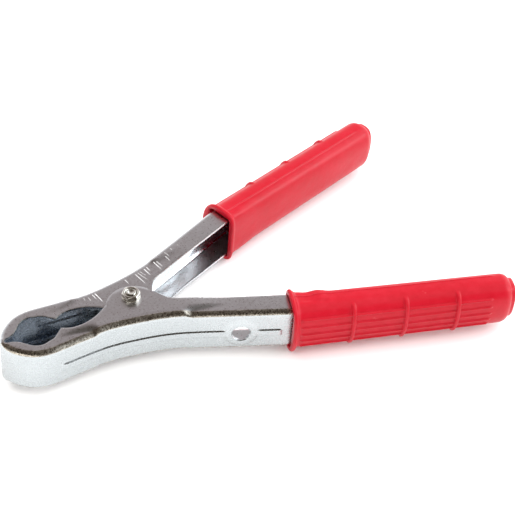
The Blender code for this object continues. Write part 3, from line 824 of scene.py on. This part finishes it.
def zinc(name, marks=()):
    n = Nodes(name)
    b = n.bsdf
    b.inputs["Metallic"].default_value = 1.0
    bend = n.attribute("bend")
    inside = n.rng(bend, -1.0, -0.6, 1.0, 0.0)
    crease_painted_shade = n.attribute("crease_painted_shade")
    geo = n.add("ShaderNodeNewGeometry")
    sep = n.add("ShaderNodeSeparateXYZ")
    n.link(geo.outputs["Normal"], sep.inputs[0])
    flat = n.rng(n.math('ABSOLUTE', sep.outputs[2]), 0.75, 0.97, 0.0, 1.0)      # the cheeks
    # plating: cloudy, with fine spangle
    cloud = n.noise(70.0, 4.0, 0.6)
    spangle = n.noise(900.0, 3.0, 0.65)
    fine = n.noise(2600.0, 2.0, 0.6)
    col = n.ramp(n.math('ADD', n.math('MULTIPLY', cloud, 0.55), n.math('MULTIPLY', spangle, 0.45)),
                 [(0.30, (0.485, 0.512, 0.524)), (0.52, (0.510, 0.538, 0.550)), (0.75, (0.535, 0.562, 0.573))])
    # painted light: faces turned upwards (the cheeks) get their own lighter, warm-grey mottled colour, chosen by the
    # normal
    fleck = n.noise(900.0, 4.0, 0.68)
    upfacing_painted_light = n.ramp(n.math('ADD', n.math('MULTIPLY', cloud, 0.3), n.math('MULTIPLY', fleck, 0.7)),
                  [(0.34, (0.575, 0.545, 0.545)), (0.5, (0.665, 0.645, 0.655)), (0.66, (0.765, 0.752, 0.768))])
    col = n.mix(n.math('MULTIPLY', flat, 0.9), col, upfacing_painted_light)
    # painted light on the inner faces of the channel: pale blue-white as painted reflection, turning to blue-grey as
    # painted shade deep in the jaw (object x below -80 mm)
    place = n.add("ShaderNodeSeparateXYZ")
    n.link(n.co, place.inputs[0])
    deep = n.rng(place.outputs[0], -0.080, -0.062, 0.0, 1.0)
    col = n.mix(n.math('MULTIPLY', inside, 0.95), col, n.mix(deep, (0.345, 0.400, 0.475), (0.800, 0.830, 0.850)))
    # painted shade: the bead's crease line is mixed towards dark grey
    col = n.mix(n.math('MULTIPLY', crease_painted_shade, 0.32), col, (0.30, 0.31, 0.33))
    # gold tint of the plating on the bend, darkened as painted shade and flecked with pale specks as painted glints;
    # only on the side of the bend facing the camera, chosen by the normal
    bend_gold_painted_shade = n.ramp(n.math('ADD', n.math('MULTIPLY', spangle, 0.6), n.math('MULTIPLY', fine, 0.4)),
                  [(0.36, (0.22, 0.18, 0.14)), (0.5, (0.50, 0.44, 0.36)), (0.64, (0.95, 0.90, 0.78))])
    tilt = n.math('ABSOLUTE', sep.outputs[2])
    bm = n.math('MULTIPLY', n.rng(bend, 0.05, 0.55, 0.0, 1.0), n.rng(tilt, 0.30, 0.42, 0.0, 1.0))
    bm = n.math('MULTIPLY', bm, n.rng(sep.outputs[1], -0.05, 0.10, 1.0, 0.0))
    web = n.rng(tilt, 0.10, 0.30, 1.0, 0.0)
    col = n.mix(n.math('MULTIPLY', bm, 0.85), col, bend_gold_painted_shade)
    rough = n.rng(spangle, 0.3, 0.7, 0.22, 0.32)
    rough = n.math('ADD', rough, n.math('MULTIPLY', flat, 0.04))
    # long drawing lines of the press
    lines = n.noise(60.0, 3.0, 0.6, ((6.0, 1.0, 40.0),))
    height = n.math('ADD', n.math('MULTIPLY', spangle, 0.7), n.math('MULTIPLY', fine, 0.3))
    bump_h = n.math('MULTIPLY', height, n.math('ADD', n.math('MULTIPLY', bm, 4.0), n.math('ADD', 0.40, n.math('MULTIPLY', flat, 0.12))))
    bump_h = n.math('MULTIPLY', bump_h, n.math('SUBTRACT', 1.0, n.math('MULTIPLY', web, 0.97)))
    bump_h = n.math('MULTIPLY', bump_h, n.math('SUBTRACT', 1.0, n.math('MULTIPLY', inside, 0.95)))
    bump_h = n.math('ADD', bump_h, n.math('MULTIPLY', lines, 0.15))
    normal = n.bump(bump_h, 0.55, 0.00004)
    calm = n.math('SUBTRACT', 1.0, n.math('MULTIPLY', inside, 0.85))
    normal = n.bump(n.math('MULTIPLY', cloud, calm), 0.14, 0.0004, normal)
    if marks:
        sc = n.add("ShaderNodeSeparateXYZ")
        n.link(n.co, sc.inputs[0])
        px, py = sc.outputs[0], sc.outputs[1]
        total = None
        wob = n.math('MULTIPLY', n.math('SUBTRACT', n.noise(1200.0, 2.0), 0.5), 0.0002)
        for (ax, ay), (bx, by), w in marks:
            ax, ay, bx, by = [(v + o) * MM for v, o in zip((ax, ay, bx, by), (PIVOT.x, PIVOT.y, PIVOT.x, PIVOT.y))]
            dx, dy = bx - ax, by - ay
            L = math.hypot(dx, dy)
            dx, dy = dx / L, dy / L
            along = n.math('ADD', n.math('MULTIPLY', px, dx / L), n.math('MULTIPLY_ADD', py, dy / L, -(ax * dx + ay * dy) / L))
            across = n.math('ADD', n.math('MULTIPLY', px, -dy), n.math('MULTIPLY_ADD', py, dx, (ax * dy - ay * dx)))
            across = n.math('ABSOLUTE', n.math('ADD', across, wob))
            # wide at the start, thin at the end
            width = n.rng(along, 0.0, 1.0, w * MM * 0.85, w * MM * 0.4)
            m1 = n.math('SUBTRACT', 1.0, n.math('DIVIDE', across, width), clamp=True)
            ends = n.math('MULTIPLY', n.rng(along, 0.0, 0.12, 0.0, 1.0), n.rng(along, 0.7, 1.0, 1.0, 0.0))
            m1 = n.math('MULTIPLY', n.math('POWER', m1, 0.6), ends)
            total = m1 if total is None else n.math('MAXIMUM', total, m1)
        up = n.rng(sep.outputs[2], 0.9, 0.98, 0.0, 1.0)
        total = n.math('MULTIPLY', total, up)
        col = n.mix(total, col, (0.97, 0.97, 0.95))
        rough = n.math('ADD', rough, n.math('MULTIPLY', total, 0.45))
        n.link(n.math('SUBTRACT', 1.0, n.math('MULTIPLY', total, 0.85)), b.inputs["Metallic"])
        normal = n.bump(n.math('MULTIPLY', total, -1.0), 0.6, 0.00008, normal)
    n.link(col, b.inputs["Base Color"])
    n.link(rough, b.inputs["Roughness"])
    n.link(normal, b.inputs["Normal"])
    return n.m


def plated_steel(name, c0, c1, rough):
    n = Nodes(name)
    b = n.bsdf
    b.inputs["Metallic"].default_value = 1.0
    s = n.noise(1400.0, 3.0, 0.6)
    c = n.noise(260.0, 3.0, 0.6)
    n.link(n.ramp(n.math('ADD', n.math('MULTIPLY', s, 0.4), n.math('MULTIPLY', c, 0.6)), [(0.35, c0), (0.65, c1)]), b.inputs["Base Color"])
    n.link(n.rng(s, 0.3, 0.7, rough - 0.05, rough + 0.08), b.inputs["Roughness"])
    n.link(n.bump(s, 0.35, 0.00003), b.inputs["Normal"])
    return n.m


def pvc(name):
    n = Nodes(name)
    b = n.bsdf
    big = n.noise(38.0, 3.0, 0.55)
    mid = n.noise(260.0, 4.0, 0.6)
    grain = n.noise(1500.0, 3.0, 0.65)
    base = n.ramp(n.math('ADD', n.math('MULTIPLY', big, 0.5), n.math('MULTIPLY', mid, 0.5)),
                  [(0.30, (0.425, 0.0012, 0.010)), (0.52, (0.468, 0.0022, 0.014)), (0.74, (0.512, 0.006, 0.022))])
    # small pale scuffs
    scuff = n.rng(n.noise(190.0, 5.0, 0.75, ((1.0, 1.0, 2.4), (0.2, 0.1, 0.5))), 0.665, 0.76, 0.0, 0.55)
    col = n.mix(scuff, base, (0.62, 0.10, 0.11))
    b.inputs["Specular IOR Level"].default_value = 0.28
    b.inputs["IOR"].default_value = 1.5
    n.link(col, b.inputs["Base Color"])
    rough = n.math('ADD', n.rng(mid, 0.3, 0.7, 0.30, 0.40), n.math('MULTIPLY', scuff, 0.2))
    n.link(rough, b.inputs["Roughness"])
    nm = n.bump(grain, 0.22, 0.00012)
    nm = n.bump(mid, 0.22, 0.0005, nm)
    nm = n.bump(big, 0.25, 0.0025, nm)
    n.link(nm, b.inputs["Normal"])
    return n.m


MAT_ZINC = zinc("zinc_plated_sheet")
MAT_ZINC_RUBBED = zinc("zinc_plated_sheet_rubbed", RUBS)
MAT_PVC = pvc("red_pvc_moulding")
MAT_NUT = plated_steel("zinc_plated_fastener", (0.70, 0.67, 0.60), (0.90, 0.88, 0.82), 0.16)
MAT_BUSH = plated_steel("bright_steel_tube", (0.50, 0.50, 0.50), (0.68, 0.68, 0.67), 0.30)
MAT_SPRING = plated_steel("spring_wire", (0.20, 0.20, 0.21), (0.36, 0.36, 0.37), 0.28)


# ------------------------------------------------------------------ build the pieces
def piece(ob, mat, body, node):
    ob.data.materials.clear()
    ob.data.materials.append(mat)
    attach(ob, body)
    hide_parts(node)
    return ob


piece(arm("near_arm_pressing", 1), MAT_ZINC, "outer_lever", "outer_arm")
piece(arm("far_arm_pressing", -1), MAT_ZINC_RUBBED, "inner_lever", "inner_arm")
piece(sleeve("near_grip_sleeve", 1, S_NEAR, True), MAT_PVC, "outer_lever", "outer_sleeve")
piece(sleeve("far_grip_sleeve", -1, S_FAR, False), MAT_PVC, "inner_lever", "inner_sleeve")
piece(washer("hinge_washer"), MAT_NUT, "outer_lever", "lock_washer")
piece(nut("hinge_nut", NUT_BOTTOM, NUT_TOP, 2.75), MAT_NUT, "outer_lever", "pivot_nut")
piece(bolt("hinge_bolt"), MAT_NUT, "outer_lever", "pivot_bolt")
piece(bush("spacer_bush"), MAT_BUSH, "outer_lever", "spring_bush")
sp = spring("closing_spring")
sp.data.materials.append(MAT_SPRING)
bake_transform(sp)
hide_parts("torsion_spring")

# ------------------------------------------------------------------ floor, light, camera
me = bpy.data.meshes.new("floor")
s = 6.0
me.from_pydata([(-s, -s, -0.0006), (s, -s, -0.0006), (s, s, -0.0006), (-s, s, -0.0006)], [], [(0, 1, 2, 3)])
floor = bpy.data.objects.new("floor", me)
bpy.context.scene.collection.objects.link(floor)
fm = bpy.data.materials.new("white_table")
fm.use_nodes = True
fb = fm.node_tree.nodes["Principled BSDF"]
fb.inputs["Base Color"].default_value = (0.97, 0.97, 0.97, 1.0)
fb.inputs["Roughness"].default_value = 0.9
fb.inputs["Specular IOR Level"].default_value = 0.1
me.materials.append(fm)

AZ, EL, ROLL, F = math.radians(-32.8235), math.radians(42.9905), math.radians(5.1625), 1455.4588
TX, TY, D = -61.8612, -28.9234, 710.9343


def camera():
    back = Vector((math.sin(AZ) * math.cos(EL), -math.cos(AZ) * math.cos(EL), math.sin(EL)))
    right = Vector((math.cos(AZ), math.sin(AZ), 0.0))
    up = back.cross(right)
    cr, sr = math.cos(ROLL), math.sin(ROLL)
    r = right * cr + up * sr
    u = up * cr - right * sr
    pos = -(r * TX + u * TY - back * D) + PIVOT
    cam = bpy.data.cameras.new("camera")
    cam.sensor_width = 36.0
    cam.lens = F / 515.0 * 36.0
    cam.clip_start, cam.clip_end = 0.01, 100.0
    ob = bpy.data.objects.new("camera", cam)
    bpy.context.scene.collection.objects.link(ob)
    m = Matrix((( r.x, u.x, back.x, pos.x * MM), (r.y, u.y, back.y, pos.y * MM), (r.z, u.z, back.z, pos.z * MM), (0, 0, 0, 1)))
    ob.matrix_world = m
    bpy.context.scene.camera = ob
    return ob


cam = camera()


def sun(name, az, el, strength, angle, glossy=False, color=(1, 1, 1)):
    """az: where the light stands, 0 = behind the object (+Y), going clockwise seen from above"""
    li = bpy.data.lights.new(name, 'SUN')
    li.energy = strength
    li.angle = math.radians(angle)
    li.color = color
    ob = bpy.data.objects.new(name, li)
    bpy.context.scene.collection.objects.link(ob)
    a, e = math.radians(az), math.radians(el)
    d = Vector((math.sin(a) * math.cos(e), math.cos(a) * math.cos(e), math.sin(e)))
    ob.rotation_mode = 'QUATERNION'
    ob.rotation_quaternion = d.to_track_quat('Z', 'Y')
    ob.visible_glossy = glossy
    return ob


sun("overhead", 20, 80, 3.45, 120)
sun("key_right", 130, 52, 0.40, 80)
sun("fill_left", -110, 45, 0.5, 90)
sun("strip_right", 126, 22, 0.75, 26, True)


def softbox(name, pos, target, size, energy, glossy=True):
    li = bpy.data.lights.new(name, 'AREA')
    li.shape = 'RECTANGLE'
    li.size, li.size_y = size
    li.energy = energy
    ob = bpy.data.objects.new(name, li)
    bpy.context.scene.collection.objects.link(ob)
    p, t = Vector(pos), Vector(target)
    ob.location = p
    ob.rotation_mode = 'QUATERNION'
    ob.rotation_quaternion = (p - t).to_track_quat('Z', 'Y')
    ob.visible_glossy = glossy
    return ob


# room seen in the metal: pale low down and behind, dull brown-grey higher up, dark over the camera
world = bpy.data.worlds.new("studio")
bpy.context.scene.world = world
world.use_nodes = True
wt = world.node_tree
wt.nodes.clear()
out = wt.nodes.new("ShaderNodeOutputWorld")
bg = wt.nodes.new("ShaderNodeBackground")
tc = wt.nodes.new("ShaderNodeTexCoord")
sx = wt.nodes.new("ShaderNodeSeparateXYZ")
wt.links.new(tc.outputs["Generated"], sx.inputs[0])
wt.links.new(bg.outputs[0], out.inputs[0])


def wmath(op, a, b=None, clamp=False):
    n = wt.nodes.new("ShaderNodeMath")
    n.operation = op
    n.use_clamp = clamp
    for i, v in enumerate((a, b)):
        if v is None:
            continue
        if isinstance(v, bpy.types.NodeSocket):
            wt.links.new(v, n.inputs[i])
        else:
            n.inputs[i].default_value = v
    return n.outputs[0]


def wramp(fac, stops):
    n = wt.nodes.new("ShaderNodeValToRGB")
    cr = n.color_ramp
    while len(cr.elements) < len(stops):
        cr.elements.new(0.5)
    for el, (p, c) in zip(cr.elements, stops):
        el.position = p
        el.color = (*c, 1.0)
    wt.links.new(fac, n.inputs[0])
    return n.outputs[0]


behind = wramp(sx.outputs[2], [(0.0, (1.0, 1.0, 1.0)), (0.30, (0.95, 0.96, 0.97)), (0.50, (0.60, 0.58, 0.59)),
                               (0.62, (0.50, 0.455, 0.46)), (0.74, (0.44, 0.39, 0.39)), (0.84, (0.16, 0.14, 0.13)), (1.0, (0.09, 0.075, 0.06))])
front = wramp(sx.outputs[2], [(0.0, (0.75, 0.75, 0.76)), (0.10, (0.35, 0.34, 0.33)), (0.24, (0.10, 0.085, 0.07)),
                              (0.6, (0.075, 0.06, 0.048)), (1.0, (0.09, 0.075, 0.06))])
side = wmath('ADD', wmath('MULTIPLY', sx.outputs[0], 0.557), wmath('MULTIPLY', sx.outputs[1], 0.83))
side = wmath('ADD', wmath('MULTIPLY', side, 2.2), 0.55, clamp=True)
mx = wt.nodes.new("ShaderNodeMix")
mx.data_type = 'RGBA'
wt.links.new(side, mx.inputs[0])
wt.links.new(front, mx.inputs[6])
wt.links.new(behind, mx.inputs[7])
# a large cool softbox to the right of the clamp, and a low strip on the left
right = wmath('ADD', wmath('MULTIPLY', sx.outputs[0], 0.984), wmath('MULTIPLY', sx.outputs[1], -0.176))
right = wmath('MULTIPLY', wmath('ADD', wmath('MULTIPLY', right, 4.0), -1.9, clamp=True),
              wmath('SUBTRACT', 2.2, wmath('MULTIPLY', wmath('ABSOLUTE', wmath('SUBTRACT', sx.outputs[2], 0.52)), 5.2), clamp=True))
left = wmath('ADD', wmath('MULTIPLY', sx.outputs[0], -0.75), wmath('MULTIPLY', sx.outputs[1], -0.66))
left = wmath('MULTIPLY', wmath('ADD', wmath('MULTIPLY', left, 10.0), -7.9, clamp=True),
             wmath('SUBTRACT', 1.4, wmath('MULTIPLY', wmath('ABSOLUTE', wmath('SUBTRACT', sx.outputs[2], 0.27)), 11.0), clamp=True))
m2 = wt.nodes.new("ShaderNodeMix")
m2.data_type = 'RGBA'
wt.links.new(wmath('MULTIPLY', right, 1.0), m2.inputs[0])
wt.links.new(mx.outputs[2], m2.inputs[6])
m2.inputs[7].default_value = (1.95, 2.10, 2.20, 1.0)
m3 = wt.nodes.new("ShaderNodeMix")
m3.data_type = 'RGBA'
wt.links.new(left, m3.inputs[0])
wt.links.new(m2.outputs[2], m3.inputs[6])
m3.inputs[7].default_value = (3.4, 3.3, 3.1, 1.0)
wt.links.new(m3.outputs[2], bg.inputs[0])
bg.inputs[1].default_value = 1.0

bpy.context.scene.view_settings.view_transform = 'Standard'
